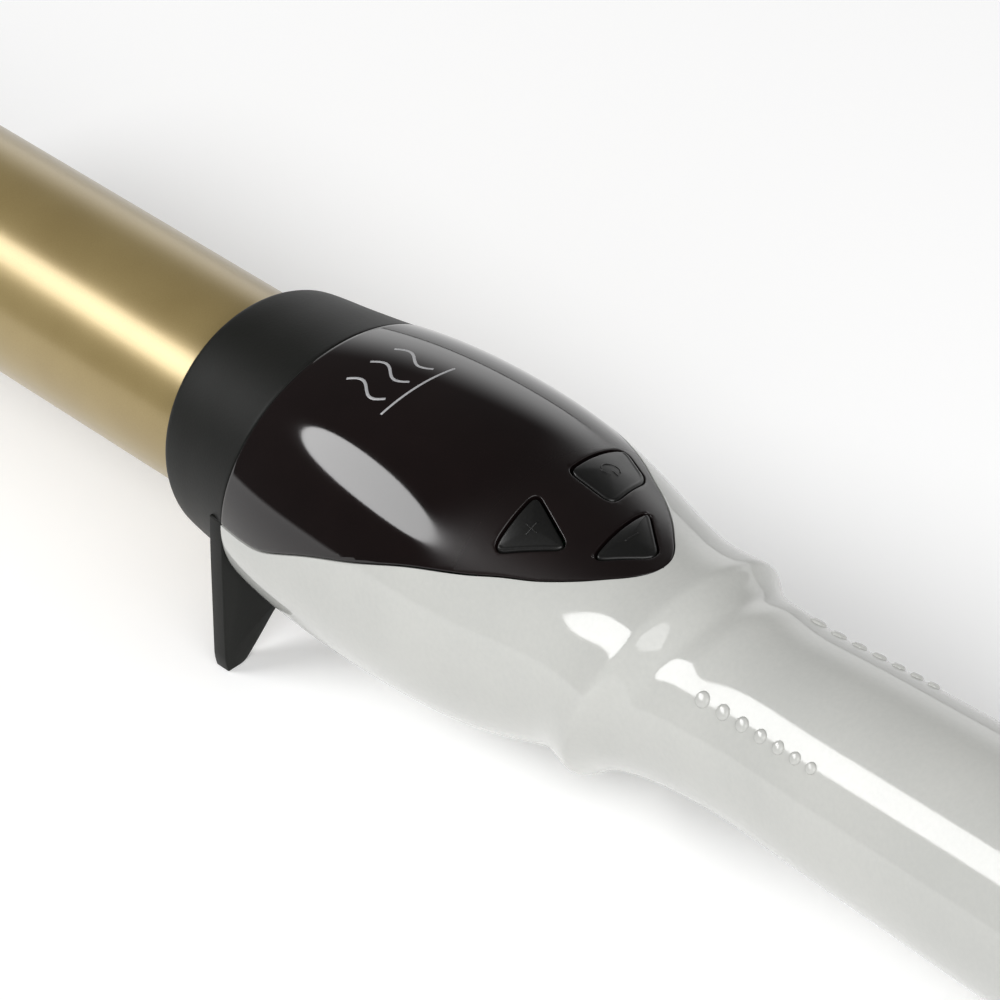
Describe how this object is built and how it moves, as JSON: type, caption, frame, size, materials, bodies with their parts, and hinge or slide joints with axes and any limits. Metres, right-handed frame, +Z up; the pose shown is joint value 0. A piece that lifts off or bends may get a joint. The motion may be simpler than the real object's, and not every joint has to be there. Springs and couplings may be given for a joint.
{
  "type": "curling wand",
  "caption": "Clampless curling wand with a gold barrel, stand collar, gloss control cover with push buttons, waisted grip and a swivelling cord inlet.",
  "frame": {"origin": "middle of the bounding box in X and Y, on the surface that the stand feet and the handle's rear rim rest on", "axes": "+X towards the handle's cord end, +Z up through the control cover, the barrel towards -X and tipped up by the stand"},
  "size_m": [0.383, 0.048, 0.0548],
  "materials": {
    "champagne_coat": "satin champagne gold ceramic coat",
    "charcoal_plastic": "fine matte moulding",
    "pearl_plastic": "glossy pearl white",
    "black_gloss": "piano gloss",
    "black_satin": "satin button caps",
    "bare_aluminium": "mill finish",
    "steel": "plated",
    "heater_ceramic": "amber film over ceramic",
    "sensor_glass": "bead",
    "holder_plastic": "heat-proof moulding",
    "mica": "mica sheet",
    "inner_plastic": "moulding",
    "board_laminate": "green solder mask",
    "component_plastic": "moulded",
    "capacitor_case": "yellow box",
    "brass": "turned",
    "lead_sleeve": "glass-fibre sleeving"
  },
  "bodies": {
    "wand": {"barrel_tube": "champagne_coat", "cool_tip": "charcoal_plastic", "tip_bracket": "bare_aluminium", "tip_screw": "steel", "heater_core": "heater_ceramic", "upper_heat_spreader": "bare_aluminium", "lower_heat_spreader": "bare_aluminium", "heater_springs": "steel", "temperature_sensor": "sensor_glass", "thermal_fuse": "steel", "collar_stand": "charcoal_plastic", "barrel_holder": "holder_plastic", "insulation_disc": "mica", "barrel_screws": "steel", "chassis_screws": "steel", "handle_shell": "pearl_plastic", "control_cover": "black_gloss", "circuit_board": "board_laminate", "board_screws": "steel", "chassis": "inner_plastic", "tact_switches": "component_plastic", "controller_chip": "component_plastic", "power_triac": "component_plastic", "filter_capacitor": "capacitor_case", "rear_cap": "charcoal_plastic", "swivel_retainer": "inner_plastic", "contact_holder": "inner_plastic", "brush_contacts": "brass", "mains_leads": "lead_sleeve", "heater_leads": "lead_sleeve"},
    "power_button": {"power_button": "black_satin"},
    "plus_button": {"plus_button": "black_satin"},
    "minus_button": {"minus_button": "black_satin"},
    "swivel": {"swivel_gland": "charcoal_plastic", "slip_rings": "brass"}
  },
  "joints": [
    {"name": "power_button_press", "type": "slide", "parent": "wand", "child": "power_button", "axis": [-0.0623, 0, -0.9981], "range_m": [0, 0.0006], "stiffness_N_per_m": 800, "springref_m": -0.0003},
    {"name": "plus_button_press", "type": "slide", "parent": "wand", "child": "plus_button", "axis": [-0.0623, 0, -0.9981], "range_m": [0, 0.0006], "stiffness_N_per_m": 800, "springref_m": -0.0003},
    {"name": "minus_button_press", "type": "slide", "parent": "wand", "child": "minus_button", "axis": [-0.0623, 0, -0.9981], "range_m": [0, 0.0006], "stiffness_N_per_m": 800, "springref_m": -0.0003},
    {"name": "cord_swivel", "type": "hinge", "parent": "wand", "child": "swivel", "pos_m": [0.16671, 0, 0.0174], "axis": [0.9981, 0, -0.0623], "continuous": true}
  ]
}
